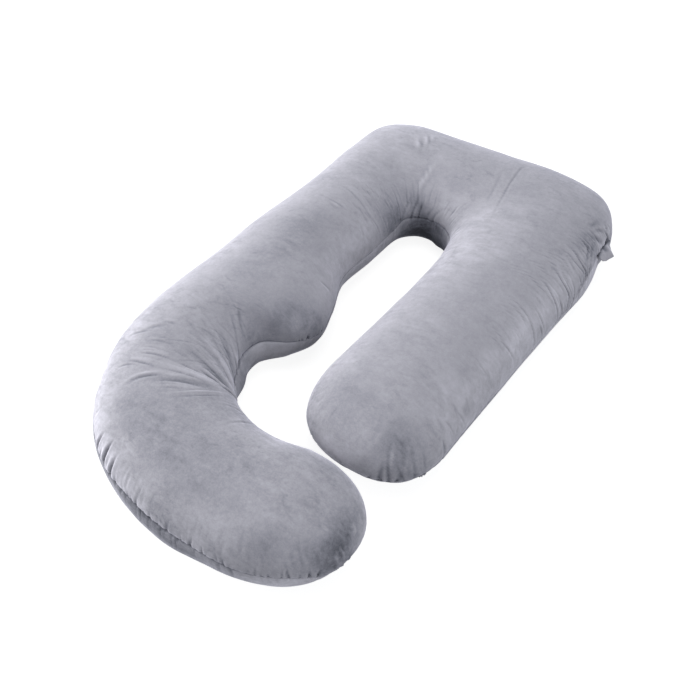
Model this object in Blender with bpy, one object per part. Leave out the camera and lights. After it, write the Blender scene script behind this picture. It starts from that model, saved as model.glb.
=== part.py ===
"""Body pillow shaped like a G: one stuffed cover that lies flat, and a folded cloth tab in its edge seam."""

import math
from collections import namedtuple

import bmesh
import bpy
from mathutils import Vector

# The cover's section, in metres. The pillow lies on its back on the plane z = 0.
CROWN = 0.188  # height along the middle of the stuffed cover
SEAM_HEIGHT = 0.090  # height of the edge seam, where the top and bottom panels meet
SEAM_TUCK = 0.004  # how far the thread draws the seam in behind the panels
TOP_FULLNESS = 2.2  # superellipse exponent of the top panel, 2 being an ellipse
LIP_SHARPNESS = 0.7  # exponent of the bulge below the seam, less being squarer
LEAST_FLAT = 0.2  # least flat underside, as a share of the half-width
SPACING = 0.031  # distance between two cross-sections, about

# Points around one cross-section, by stretch
TOP_STEPS = 20
SIDE_STEPS = 5
FLAT_STEPS = 2
END_STEPS = 8  # cross-sections in each rounded end

# Where the panels' edges run, from the end of the straight arm, round the head, down the other arm
# with its lobe, and along the hook. outer and inner are the x and y of the two edges. A roll is how far
# the underside rounds in before it lies flat, and a lip is how far the bottom panel bulges past the seam.
Section = namedtuple("Section", "name outer inner outer_roll inner_roll outer_lip inner_lip")
SECTIONS = (
    Section("arm_end", (0.362, -0.210), (0.056, -0.210), 0.09, 0.08, 0.004, 0.010),
    Section("arm", (0.362, 0.000), (0.062, -0.010), 0.08, 0.08, 0.006, 0.010),
    Section("arm_top", (0.366, 0.280), (0.060, 0.205), 0.08, 0.07, 0.008, 0.010),
    Section("shoulder", (0.365, 0.400), (0.048, 0.280), 0.08, 0.06, 0.006, 0.016),
    Section("tab_dent", (0.353, 0.485), (0.040, 0.312), 0.08, 0.05, 0.003, 0.012),
    Section("right_corner", (0.347, 0.560), (0.028, 0.334), 0.08, 0.05, 0.008, 0.010),
    Section("right_turn", (0.294, 0.650), (0.006, 0.354), 0.08, 0.04, 0.010, 0.010),
    Section("head_right", (0.180, 0.682), (-0.012, 0.363), 0.08, 0.04, 0.010, 0.010),
    Section("head", (0.010, 0.676), (-0.030, 0.367), 0.08, 0.04, 0.010, 0.010),
    Section("head_left", (-0.150, 0.672), (-0.052, 0.368), 0.08, 0.05, 0.010, 0.010),
    Section("left_turn", (-0.280, 0.664), (-0.080, 0.360), 0.08, 0.06, 0.010, 0.005),
    Section("left_corner", (-0.353, 0.610), (-0.102, 0.337), 0.08, 0.08, 0.010, 0.005),
    Section("left_shoulder", (-0.366, 0.470), (-0.107, 0.300), 0.08, 0.08, 0.010, 0.014),
    Section("left_arm", (-0.360, 0.290), (-0.105, 0.200), 0.08, 0.08, 0.010, 0.012),
    Section("lobe_start", (-0.370, 0.100), (-0.106, 0.080), 0.08, 0.08, 0.010, 0.010),
    Section("lobe_swell", (-0.372, -0.010), (-0.069, -0.013), 0.08, 0.08, 0.010, 0.010),
    Section("lobe_tip", (-0.372, -0.110), (-0.040, -0.100), 0.08, 0.09, 0.010, 0.010),
    Section("lobe_foot", (-0.373, -0.190), (-0.056, -0.163), 0.08, 0.13, 0.010, 0.006),
    Section("notch", (-0.367, -0.280), (-0.115, -0.208), 0.08, 0.12, 0.010, 0.006),
    Section("bend_start", (-0.350, -0.385), (-0.124, -0.255), 0.08, 0.08, 0.010, 0.022),
    Section("bend", (-0.306, -0.490), (-0.106, -0.300), 0.08, 0.06, 0.018, 0.022),
    Section("bend_end", (-0.238, -0.582), (-0.066, -0.356), 0.08, 0.08, 0.018, 0.004),
    Section("hook_start", (-0.140, -0.646), (-0.014, -0.392), 0.09, 0.08, 0.016, 0.010),
    Section("hook", (-0.020, -0.680), (0.055, -0.414), 0.10, 0.08, 0.014, 0.010),
    Section("hook_middle", (0.070, -0.688), (0.115, -0.415), 0.12, 0.08, 0.014, 0.010),
    Section("hook_end", (0.150, -0.681), (0.172, -0.406), 0.14, 0.08, 0.012, 0.010),
)

# The rounded ends. reach is how far the seam runs past the last section, squareness is its superellipse
# exponent, roll is the underside's rounding at the tip, and lean turns the tip towards the outer edge,
# or away from it where it is negative.
End = namedtuple("End", "reach squareness roll lean")
ARM_END = End(reach=0.164, squareness=2.45, roll=0.17, lean=0.06)
HOOK_END = End(reach=0.182, squareness=2.25, roll=0.19, lean=-0.16)

# The folded tab: one row for each place along its base, which is caught in the seam. along runs from 0
# at its lower end to 1, reach is how far it stands out, and droop is how far its free edge hangs.
TabRow = namedtuple("TabRow", "along reach droop")
TAB_ROWS = (
    TabRow(0.0, 0.014, 0.004),
    TabRow(0.5, 0.032, 0.009),
    TabRow(0.87, 0.009, 0.003),
    TabRow(1.0, 0.004, 0.000),
)
TAB_START_Y = 0.460
TAB_END_Y = 0.535
TAB_COLUMNS = 6
TAB_BASE_THICKNESS = 0.005
TAB_EDGE_THICKNESS = 0.003
TAB_SETBACK = 0.001  # from the bottom of the seam to the tab's base, which leaves it clear of both panels

VELOUR_COLOUR = (0.36, 0.36, 0.42, 1.0)
VELOUR_ROUGHNESS = 0.95

# A cross-section to be drawn: its two edges, its underside, and how far along a rounded end it lies,
# where tip goes from 0 on the run between the ends to 1 at the very end.
Station = namedtuple("Station", "outer inner outer_roll inner_roll outer_lip inner_lip tip")


def clear_scene():
    """Remove whatever the file opened with."""
    for thing in list(bpy.data.objects):
        bpy.data.objects.remove(thing, do_unlink=True)


def flat_row(section):
    """A section's eight numbers in a row, ready to be blended."""
    return [*section.outer, *section.inner, *section[3:]]


def station_from(row):
    """The cross-section on the run between the ends that a row of eight numbers gives."""
    return Station(Vector(row[0:2]), Vector(row[2:4]), *row[4:], tip=0.0)


def knots_along(rows):
    """Centripetal knots, which keep the curve from looping where sections lie close together."""
    knots = [0.0]
    for before, after in zip(rows, rows[1:]):
        knots.append(knots[-1] + math.sqrt(math.dist(before[:4], after[:4])))
    return knots


def slopes_along(rows, knots):
    """The curve's slope at each row, from the rows on both sides of it."""
    steps = [
        [(b - a) / (end - start) for a, b in zip(before, after)]
        for before, after, start, end in zip(rows, rows[1:], knots, knots[1:])
    ]
    slopes = [steps[0]]
    for i in range(1, len(rows) - 1):
        left = knots[i] - knots[i - 1]
        right = knots[i + 1] - knots[i]
        slopes.append(
            [(a * right + b * left) / (left + right) for a, b in zip(steps[i - 1], steps[i])]
        )
    slopes.append(steps[-1])
    return slopes


def between(a, b, slope_a, slope_b, span, t):
    """A cubic from a to b, at t from 0 to 1."""
    rise = t * t * (3 - 2 * t)
    return a + rise * (b - a) + span * t * (1 - t) * ((1 - t) * slope_a - t * slope_b)


def run_stations():
    """Cross-sections about SPACING apart on one smooth run through all the sections."""
    rows = [flat_row(section) for section in SECTIONS]
    knots = knots_along(rows)
    slopes = slopes_along(rows, knots)
    stations = []
    for i in range(len(rows) - 1):
        outer_length = math.dist(rows[i][0:2], rows[i + 1][0:2])
        inner_length = math.dist(rows[i][2:4], rows[i + 1][2:4])
        count = max(1, round((outer_length + inner_length) / 2 / SPACING))
        span = knots[i + 1] - knots[i]
        for step in range(count):
            numbers = zip(rows[i], rows[i + 1], slopes[i], slopes[i + 1])
            row = [between(*number, span, step / count) for number in numbers]
            stations.append(station_from(row))
    stations.append(station_from(rows[-1]))
    return stations


def end_stations(last, neighbour, end):
    """Cross-sections that narrow from the last one to the tip of a rounded end, without the tip itself."""
    middle = (last.outer + last.inner) / 2
    half = (last.outer - last.inner) / 2
    away = middle - (neighbour.outer + neighbour.inner) / 2
    forward = Vector((half.y, -half.x)).normalized()
    if forward.dot(away) < 0:
        forward = -forward
    heading = forward + end.lean * half.normalized()
    stations = []
    for step in range(1, END_STEPS):
        turn = math.pi / 2 * step / END_STEPS
        width = math.cos(turn) ** (2 / end.squareness)
        tip = math.sin(turn) ** (2 / end.squareness)
        centre = middle + heading * end.reach * tip
        stations.append(
            Station(
                centre + half * width,
                centre - half * width,
                last.outer_roll + (end.roll - last.outer_roll) * tip,
                last.inner_roll + (end.roll - last.inner_roll) * tip,
                last.outer_lip * width,
                last.inner_lip * width,
                tip,
            )
        )
    apex = middle + heading * end.reach
    return stations, Vector((apex.x, apex.y, SEAM_HEIGHT))


def underside_lift(station):
    """How high the underside has rounded up off the plane at a station in a rounded end."""
    return SEAM_HEIGHT * (1 - math.sqrt(1 - station.tip**2))


def side_points(middle, outward, half_width, roll, lip, lift):
    """The bottom panel's side, from just below the seam to where it meets the flat underside."""
    flat = max(half_width - roll, LEAST_FLAT * half_width)
    points = []
    for step in range(1, SIDE_STEPS + 1):
        share = step / SIDE_STEPS
        turn = math.pi / 2 * share
        bulge = lip * math.sin(math.pi * share) ** LIP_SHARPNESS
        across = flat + (half_width - flat) * math.cos(turn) + bulge
        height = SEAM_HEIGHT - (SEAM_HEIGHT - lift) * math.sin(turn)
        spot = middle + outward * across
        points.append(Vector((spot.x, spot.y, height)))
    return points


def cross_section(station):
    """One closed ring: outer seam, over the top, inner seam, and back along the underside."""
    middle = (station.outer + station.inner) / 2
    half = (station.outer - station.inner) / 2
    outward = half.normalized()
    half_width = half.length
    crown = (CROWN - SEAM_HEIGHT) * (1 - station.tip**TOP_FULLNESS) ** (1 / TOP_FULLNESS)
    ring = []
    for step in range(TOP_STEPS + 1):
        turn = math.pi * step / TOP_STEPS
        bend = math.cos(turn)
        across = math.copysign(half_width * abs(bend) ** (2 / TOP_FULLNESS), bend)
        if step in (0, TOP_STEPS):
            across -= math.copysign(SEAM_TUCK, bend)
        spot = middle + outward * across
        ring.append(Vector((spot.x, spot.y, SEAM_HEIGHT + crown * math.sin(turn))))
    lift = underside_lift(station)
    inner = side_points(middle, -outward, half_width, station.inner_roll, station.inner_lip, lift)
    outer = side_points(middle, outward, half_width, station.outer_roll, station.outer_lip, lift)
    flat = [inner[-1].lerp(outer[-1], step / FLAT_STEPS) for step in range(1, FLAT_STEPS)]
    return ring + inner + flat + outer[::-1]


def cover_rings():
    """Every cross-section of the cover in order, and the points that close its two ends."""
    run = run_stations()
    arm, arm_tip = end_stations(run[0], run[1], ARM_END)
    hook, hook_tip = end_stations(run[-1], run[-2], HOOK_END)
    rings = [cross_section(station) for station in reversed(arm)]
    rings += [cross_section(station) for station in run + hook]
    return rings, arm_tip, hook_tip


def mesh_object(name, mesh, material):
    """Recalculate a bmesh's normals outwards, and put it in the scene as an object."""
    bmesh.ops.recalc_face_normals(mesh, faces=mesh.faces)
    data = bpy.data.meshes.new(name)
    mesh.to_mesh(data)
    mesh.free()
    data.materials.append(material)
    thing = bpy.data.objects.new(name, data)
    bpy.context.collection.objects.link(thing)
    return thing


def velour(name):
    """A matt pile cloth."""
    material = bpy.data.materials.new(name)
    material.use_nodes = True
    shader = material.node_tree.nodes["Principled BSDF"]
    shader.inputs["Base Color"].default_value = VELOUR_COLOUR
    shader.inputs["Roughness"].default_value = VELOUR_ROUGHNESS
    shader.inputs["Metallic"].default_value = 0.0
    return material


def make_cover(rings, arm_tip, hook_tip):
    """The stuffed cover as one closed solid, bridged from ring to ring."""
    mesh = bmesh.new()
    rows = [[mesh.verts.new(point) for point in ring] for ring in rings]
    count = len(rows[0])
    for before, after in zip(rows, rows[1:]):
        for i in range(count):
            j = (i + 1) % count
            mesh.faces.new((before[i], before[j], after[j], after[i]))
    for row, point in ((rows[0], arm_tip), (rows[-1], hook_tip)):
        tip = mesh.verts.new(point)
        for i in range(count):
            mesh.faces.new((row[i], row[(i + 1) % count], tip))
    cover = mesh_object("pillow_body", mesh, velour("cover_velour"))
    cover.data.shade_smooth()
    return cover


def seam_places(rings):
    """Places along the tab's base on the outer seam: even ones, and the seam's own corners."""
    seam = [ring[0] for ring in rings]
    corners = [point.y for point in seam if TAB_START_Y < point.y < TAB_END_Y and point.x > 0]
    span = TAB_END_Y - TAB_START_Y
    even = [TAB_START_Y + span * i / TAB_COLUMNS for i in range(TAB_COLUMNS + 1)]
    places = []
    for y in sorted(even + corners):
        for before, after in zip(seam, seam[1:]):
            if before.y <= y < after.y and before.x > 0:
                share = (y - before.y) / (after.y - before.y)
                along = (after - before).normalized()
                outward = Vector((along.y, -along.x, 0.0))
                places.append((before.lerp(after, share), outward))
                break
    return places


def tab_row_at(along):
    """How far the tab stands out and droops at a place along its base."""
    for before, after in zip(TAB_ROWS, TAB_ROWS[1:]):
        if along <= after.along:
            share = (along - before.along) / (after.along - before.along)
            reach = before.reach + share * (after.reach - before.reach)
            droop = before.droop + share * (after.droop - before.droop)
            return reach, droop
    return TAB_ROWS[-1].reach, TAB_ROWS[-1].droop


def make_tab(rings):
    """The folded ear of cloth, thick where the seam catches it and thin at its free edge."""
    mesh = bmesh.new()
    columns = []
    for seam_point, outward in seam_places(rings):
        along = (seam_point.y - TAB_START_Y) / (TAB_END_Y - TAB_START_Y)
        reach, droop = tab_row_at(along)
        base = seam_point + outward * TAB_SETBACK
        edge = seam_point + outward * reach - Vector((0.0, 0.0, droop))
        base_half = Vector((0.0, 0.0, TAB_BASE_THICKNESS / 2))
        edge_half = Vector((0.0, 0.0, TAB_EDGE_THICKNESS / 2))
        corners = (base - base_half, edge - edge_half, edge + edge_half, base + base_half)
        columns.append([mesh.verts.new(corner) for corner in corners])
    for before, after in zip(columns, columns[1:]):
        for i in range(4):
            j = (i + 1) % 4
            mesh.faces.new((before[i], before[j], after[j], after[i]))
    mesh.faces.new(columns[0])
    mesh.faces.new(columns[-1])
    return mesh_object("seam_tab", mesh, velour("tab_velour"))


def centre_on_footprint(things):
    """Put the origin under the middle of the bounding box, on the plane that the pillow lies on."""
    corners = [vertex.co for thing in things for vertex in thing.data.vertices]
    middle_x = (min(c.x for c in corners) + max(c.x for c in corners)) / 2
    middle_y = (min(c.y for c in corners) + max(c.y for c in corners)) / 2
    for thing in things:
        for vertex in thing.data.vertices:
            vertex.co -= Vector((middle_x, middle_y, 0.0))


clear_scene()
all_rings, first_tip, last_tip = cover_rings()
pieces = [make_cover(all_rings, first_tip, last_tip), make_tab(all_rings)]
centre_on_footprint(pieces)
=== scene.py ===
import math
import random
from collections import namedtuple

import bmesh
import bpy
import numpy as np
from mathutils import Matrix, Vector, bvhtree, kdtree, noise


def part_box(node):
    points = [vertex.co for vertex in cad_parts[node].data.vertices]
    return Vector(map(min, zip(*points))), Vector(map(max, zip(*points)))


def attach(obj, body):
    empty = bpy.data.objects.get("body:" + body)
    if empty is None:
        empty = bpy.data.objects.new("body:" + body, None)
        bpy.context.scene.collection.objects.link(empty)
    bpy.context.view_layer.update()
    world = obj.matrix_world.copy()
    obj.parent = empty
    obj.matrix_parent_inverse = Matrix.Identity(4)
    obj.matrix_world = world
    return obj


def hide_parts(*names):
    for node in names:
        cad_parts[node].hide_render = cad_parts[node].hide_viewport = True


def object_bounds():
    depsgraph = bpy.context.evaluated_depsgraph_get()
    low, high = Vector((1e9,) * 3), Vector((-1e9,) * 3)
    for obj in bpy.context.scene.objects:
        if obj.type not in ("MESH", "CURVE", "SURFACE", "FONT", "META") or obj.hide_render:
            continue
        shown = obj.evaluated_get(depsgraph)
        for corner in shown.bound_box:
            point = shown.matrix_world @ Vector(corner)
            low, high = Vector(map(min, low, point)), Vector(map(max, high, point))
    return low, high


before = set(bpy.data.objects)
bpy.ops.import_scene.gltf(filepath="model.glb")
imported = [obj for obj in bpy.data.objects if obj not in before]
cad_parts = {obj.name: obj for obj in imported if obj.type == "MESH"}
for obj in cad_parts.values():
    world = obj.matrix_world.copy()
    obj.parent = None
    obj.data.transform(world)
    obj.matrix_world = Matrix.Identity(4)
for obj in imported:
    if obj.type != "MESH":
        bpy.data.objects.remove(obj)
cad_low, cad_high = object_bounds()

# -------------------------------------------------------------------------------------------------
# The stuffed cover: two panels of short-pile velour, sewn face to face round one long edge, turned
# right side out and filled with fibre. It lies on its back, so its underside is flat and the edge
# seam runs round it at about half its height, drawn in by the thread.

CROWN = 0.188  # height along the middle
SEAM_HEIGHT = 0.090
TOP_FULLNESS = 2.2  # superellipse exponent of the top panel
LIP_SHARPNESS = 0.7
LEAST_FLAT = 0.2  # the underside's flat part, as a share of the width
FINE_STEPS = 4001
RUN_STATIONS = 1020
END_STATIONS = 70
NEAR_SEAM = (0.0013, 0.0028, 0.0048, 0.0075)  # the first points' distances from the seam
TOP_HALF_STEPS = 48
SIDE_STEPS = 5
FLAT_STEPS = 3

# Where the panels' edges run, from the straight arm's end round the head and the bend to the
# hook's end, in millimetres. A roll is how far the underside rounds in before it lies flat, and a
# lip is how far the bottom panel bulges past the seam.
Section = namedtuple(
    "Section", "name outer_x outer_y inner_x inner_y outer_roll inner_roll outer_lip inner_lip"
)
SECTIONS = [Section(name, *(size / 1000 for size in sizes)) for name, *sizes in (
    ("arm_end", 362, -210, 56, -210, 90, 80, 4, 10),
    ("arm", 362, 0, 62, -10, 80, 80, 6, 10),
    ("arm_top", 366, 280, 60, 205, 80, 70, 8, 10),
    ("shoulder", 365, 400, 48, 280, 80, 60, 13, 16),
    ("tab_dent", 353, 485, 40, 312, 80, 50, 7, 12),
    ("right_corner", 347, 560, 28, 334, 80, 50, 8, 10),
    ("right_turn", 294, 650, 6, 354, 80, 40, 10, 10),
    ("head_right", 180, 682, -12, 363, 80, 40, 10, 10),
    ("head", 10, 676, -30, 367, 80, 40, 10, 10),
    ("head_left", -150, 672, -52, 368, 80, 58, 10, 8),
    ("left_turn", -280, 664, -80, 360, 80, 60, 10, 5),
    ("left_corner", -353, 610, -102, 337, 80, 62, 10, 5),
    ("left_shoulder", -366, 470, -107, 300, 80, 70, 10, 6),
    ("left_arm", -360, 290, -105, 200, 80, 80, 10, 7),
    ("lobe_start", -370, 100, -106, 80, 80, 80, 10, 7),
    ("lobe_swell", -372, -10, -69, -13, 80, 80, 10, 10),
    ("lobe_tip", -372, -110, -40, -100, 80, 90, 10, 6),
    ("lobe_foot", -373, -190, -56, -163, 80, 130, 10, 3),
    ("notch", -367, -280, -115, -208, 80, 90, 10, 18),
    ("bend_start", -350, -385, -124, -255, 80, 80, 10, 22),
    ("bend", -306, -490, -106, -300, 80, 60, 16, 22),
    ("bend_end", -238, -582, -66, -356, 80, 80, 15, 4),
    ("hook_start", -140, -646, -14, -392, 90, 80, 8, 10),
    ("hook", -20, -680, 55, -414, 100, 80, 14, 10),
    ("hook_middle", 70, -688, 115, -415, 120, 80, 16, 10),
    ("hook_end", 150, -688, 172, -402, 80, 80, 2, 10),
)]
SECTION_NAMES = [section.name for section in SECTIONS]

# How close together the cross-sections lie: closest where the cloth creases.
CLOSENESS = (
    ("arm_end", 1.1), ("arm", 1.1), ("arm_top", 1.9), ("tab_dent", 2.1), ("right_corner", 1.3),
    ("right_turn", 0.9), ("head_left", 0.9), ("left_corner", 1.1), ("left_shoulder", 1.1),
    ("left_arm", 0.8), ("lobe_start", 0.9), ("lobe_swell", 1.4), ("lobe_foot", 1.6), ("notch", 1.9),
    ("bend", 2.4), ("bend_end", 2.2), ("hook_start", 1.9), ("hook", 1.3), ("hook_end", 1.2),
)

# Where creases cross the cross-sections on a slant, these keep all their points from one share of
# the way over the top to another: 0 is the outer seam and 1 the inner one. Elsewhere they keep
# every other point by the sides and every fourth one over the crown.
FineRun = namedtuple("FineRun", "first last from_share to_share")
FINE_RUNS = (
    FineRun("arm_tip", "arm_end", 0.0, 1.0), FineRun("shoulder", "head", 0.40, 0.80),
    FineRun("notch", "hook_start", 0.12, 1.0), FineRun("hook_end", "hook_tip", 0.0, 0.5),
)
CROWN_FROM = 28

# How far the seam has rolled down below mid-height: on the straight arm's outer side, up to the ear
# that holds it up, on the inner side of the other arm and its lobe, and round both ends.
OUTER_DROPS = (
    ("arm_tip", 0.032), ("arm_end", 0.028), ("arm", 0.026), ("arm_top", 0.018),
    ("shoulder", -0.010), ("tab_dent", -0.016), ("right_corner", -0.006), ("right_turn", 0.0),
    ("hook_end", -0.004), ("hook_tip", 0.044),
)
INNER_DROPS = (
    ("arm_tip", 0.032), ("arm_end", 0.0), ("left_corner", 0.0), ("left_shoulder", 0.009),
    ("left_arm", 0.011), ("lobe_start", 0.012), ("lobe_swell", 0.018), ("lobe_tip", 0.020),
    ("lobe_foot", 0.004), ("notch", 0.0), ("hook_end", 0.0), ("hook_tip", 0.048),
)
LEAST_DROP = 0.0003
ROLLED_UNDER = 0.030  # the drop at which both panels swell as one
ROLLED_BULGE_HEIGHT = 0.040
ROLLED_BULGE_REACH = 0.055

# The two round ends. The hook's keeps the drops of the last section almost to its tip.
End = namedtuple("End", "reach squareness roll lean")
ARM_END = End(reach=0.164, squareness=2.45, roll=0.17, lean=0.06)
HOOK_END = End(reach=0.184, squareness=2.16, roll=0.18, lean=-0.115)
HOOK_HOLD = 12


def smooth(x):
    """0 below 0, 1 above 1, and an even rise between."""
    x = np.clip(x, 0, 1)
    return x * x * (3 - 2 * x)


def run_rows(places):
    """The sections' numbers at places along the run: 0 is the first section, 1 the next."""
    rows = np.array([section[1:] for section in SECTIONS])
    steps = np.sqrt(np.linalg.norm(np.diff(rows[:, :4], axis=0), axis=1))
    rates = np.diff(rows, axis=0) / steps[:, None]
    share = (steps[1:] / (steps[1:] + steps[:-1]))[:, None]
    slopes = np.vstack([rates[:1], rates[:-1] * share + rates[1:] * (1 - share), rates[-1:]])
    i = np.clip(places.astype(int), 0, len(rows) - 2)
    t = (places - i)[:, None]
    turned = t * (1 - t) * ((1 - t) * slopes[i] - t * slopes[i + 1])
    return rows[i] + smooth(t) * (rows[i + 1] - rows[i]) + steps[i][:, None] * turned


def lengths_along(points):
    """How far along a line of points each one lies."""
    return np.concatenate([[0.0], np.cumsum(np.linalg.norm(np.diff(points, axis=0), axis=1))])


def place_of(name):
    """A section's number. The tips have names too."""
    return {"arm_tip": -1, "hook_tip": len(SECTIONS)}.get(name) or SECTION_NAMES.index(name)


def by_section(table, places):
    """A table's numbers at places along the run."""
    return np.interp(places, [place_of(name) for name, _ in table], [n for _, n in table])


def run_stations():
    """Cross-sections spaced along whichever edge is longer, with tip = 0 in the last column."""
    fine_places = np.linspace(0, len(SECTIONS) - 1, FINE_STEPS)
    fine = run_rows(fine_places)
    outer_steps = np.diff(lengths_along(fine[:, 0:2]))
    inner_steps = np.diff(lengths_along(fine[:, 2:4]))
    travelled = np.maximum(outer_steps, inner_steps) * by_section(CLOSENESS, fine_places[:-1])
    travelled = np.concatenate([[0.0], np.cumsum(travelled)])
    places = np.interp(np.linspace(0, travelled[-1], RUN_STATIONS + 1), travelled, fine_places)
    rows = run_rows(places)
    return np.hstack([rows, np.zeros((len(rows), 1))]), places


def end_stations(last, neighbour, end):
    """Cross-sections that narrow from the last one towards a rounded end's tip, and the tip."""
    middle, half = (last[0:2] + last[2:4]) / 2, (last[0:2] - last[2:4]) / 2
    away = middle - (neighbour[0:2] + neighbour[2:4]) / 2
    sideways = half / np.linalg.norm(half)
    forward = np.array([sideways[1], -sideways[0]])
    forward *= math.copysign(1.0, forward @ away)
    heading = forward + end.lean * sideways
    turn = np.linspace(0, math.pi / 2, FINE_STEPS)
    power = 2 / end.squareness
    outline = np.stack(
        [np.linalg.norm(half) * np.cos(turn) ** power, end.reach * np.sin(turn) ** power], axis=1
    )
    travelled = lengths_along(outline)
    turn = np.interp(np.linspace(0, travelled[-1], END_STATIONS + 1)[1:-1], travelled, turn)
    width = (np.cos(turn) ** power)[:, None]
    tip = (np.sin(turn) ** power)[:, None]
    centre = middle + heading * end.reach * tip
    rolls = last[4:6] + (end.roll - last[4:6]) * tip
    rows = np.hstack([centre + half * width, centre - half * width, rolls, last[6:8] * width, tip])
    return rows, middle + heading * end.reach


def spread(reach, steps):
    """Places from 0 to reach, close together by the seam and then even."""
    return np.concatenate([[0.0], NEAR_SEAM, np.linspace(NEAR_SEAM[-1], reach, steps + 1)[1:]])


def cross_sections(rows, outer_drops, inner_drops):
    """Rings of points: outer seam, over the top, inner seam, and back along the underside."""
    middle, half = (rows[:, 0:2] + rows[:, 2:4]) / 2, (rows[:, 0:2] - rows[:, 2:4]) / 2
    half_width = np.linalg.norm(half, axis=1)[:, None]
    outward = half / half_width
    tip = rows[:, 8:9]
    crown = (CROWN - SEAM_HEIGHT) * np.clip(1 - tip**TOP_FULLNESS, 0, None) ** (1 / TOP_FULLNESS)
    lift = SEAM_HEIGHT * (1 - np.sqrt(1 - tip**2))
    outer_rolled = np.clip(outer_drops[:, None] / ROLLED_UNDER, 0, 1)
    inner_rolled = np.clip(inner_drops[:, None] / ROLLED_UNDER, 0, 1)

    quarter = math.pi / 2 * (CROWN - SEAM_HEIGHT)
    up = spread(quarter, TOP_HALF_STEPS) / quarter * math.pi / 2
    turn = np.concatenate([up, math.pi - up[-2::-1]])
    bend = np.cos(turn)
    top_across = half_width * np.sign(bend) * np.abs(bend) ** (2 / TOP_FULLNESS)
    top_height = SEAM_HEIGHT + crown * np.sin(turn)

    quarter = math.pi / 2 * SEAM_HEIGHT
    down = spread(quarter, SIDE_STEPS)[1:] / quarter

    def rolled_bulge(height):
        """The lip of a side whose seam has rolled down is a smooth swell of both panels."""
        return np.exp(-(((height - ROLLED_BULGE_HEIGHT) / ROLLED_BULGE_REACH) ** 2))

    def side(roll, lip, rolled):
        """The bottom panel's side, from just below the seam to the flat underside."""
        height = SEAM_HEIGHT - (SEAM_HEIGHT - lift) * np.sin(math.pi / 2 * down)
        flat = np.maximum(half_width - roll, LEAST_FLAT * half_width)
        bulge = (1 - rolled) * np.clip(np.sin(math.pi * down), 0, None) ** LIP_SHARPNESS
        bulge = lip * (bulge + rolled * rolled_bulge(height) * (1 - down**4))
        return flat + (half_width - flat) * np.cos(math.pi / 2 * down) + bulge, height

    swell = rolled_bulge(top_height)
    top_across += rows[:, 6:7] * outer_rolled * swell * np.clip(bend, 0, None) ** 0.5
    top_across -= rows[:, 7:8] * inner_rolled * swell * np.clip(-bend, 0, None) ** 0.5
    inner_across, inner_height = side(rows[:, 5:6], rows[:, 7:8], inner_rolled)
    outer_across, outer_height = side(rows[:, 4:5], rows[:, 6:7], outer_rolled)
    flat_share = np.arange(1, FLAT_STEPS) / FLAT_STEPS
    flat_across = -inner_across[:, -1:] + (outer_across[:, -1:] + inner_across[:, -1:]) * flat_share
    flat_height = np.repeat(inner_height[:, -1:], FLAT_STEPS - 1, axis=1)
    across = np.hstack([top_across, -inner_across, flat_across, outer_across[:, ::-1]])
    height = np.hstack([top_height, inner_height, flat_height, outer_height[:, ::-1]])
    points = np.empty((*across.shape, 3))
    points[..., 0:2] = middle[:, None] + outward[:, None] * across[..., None]
    points[..., 2] = height
    return points, np.clip(across / half_width, -1, 1)


run, run_places = run_stations()
arm, arm_tip = end_stations(run[0], run[1], ARM_END)
hook, hook_tip = end_stations(run[-1], run[-2], HOOK_END)
stations = np.vstack([arm[::-1], run, hook])
hook_places = len(SECTIONS) - 1 + stations[-len(hook) :, 8] ** HOOK_HOLD
ring_places = np.concatenate([-stations[: len(arm), 8], run_places, hook_places])
outer_drops = by_section(OUTER_DROPS, ring_places)
inner_drops = by_section(INNER_DROPS, ring_places)
rings, sides = cross_sections(stations, outer_drops, inner_drops)
count, around = rings.shape[:2]
top_count = 2 * (len(NEAR_SEAM) + TOP_HALF_STEPS) + 1

# The CAD solid's own box says where the cover lies.
solid_low, solid_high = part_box("pillow_body")
box_middle = (np.array(solid_low)[:2] + np.array(solid_high)[:2]) / 2
ring_low, ring_high = rings[..., :2].min(axis=(0, 1)), rings[..., :2].max(axis=(0, 1))
move = box_middle - (ring_low + ring_high) / 2
rings[..., :2] += move
tips = np.array([[*(arm_tip + move), SEAM_HEIGHT], [*(hook_tip + move), SEAM_HEIGHT]])


def ring_columns(place):
    """The points that the cross-section at a place keeps."""
    kept = set(range(top_count, around))
    for j in range(top_count):
        to_seam = min(j, top_count - 1 - j)
        spacing = 1 if to_seam <= len(NEAR_SEAM) else 2 if to_seam <= CROWN_FROM else 4
        if to_seam % spacing == 0:
            kept.add(j)
    plain = sorted(kept)
    for fine in FINE_RUNS:
        if place_of(fine.first) <= place <= place_of(fine.last):
            inside = [j for j in plain if fine.from_share <= j / (top_count - 1) <= fine.to_share]
            kept |= set(range(inside[0], inside[-1] + 1))
    return kept


def fan_out(coarse, fine, j, k, flip):
    """Triangles from one edge of a coarse ring to all the points beside it on a fine ring."""
    half = (j + k) // 2
    found = [(coarse + j, fine + m, fine + m + 1) for m in range(j, half)]
    found += [(coarse + j, fine + half, coarse + k)]
    found += [(coarse + k, fine + m, fine + m + 1) for m in range(half, k)]
    return [face[::-1] for face in found] if flip else found


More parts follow.
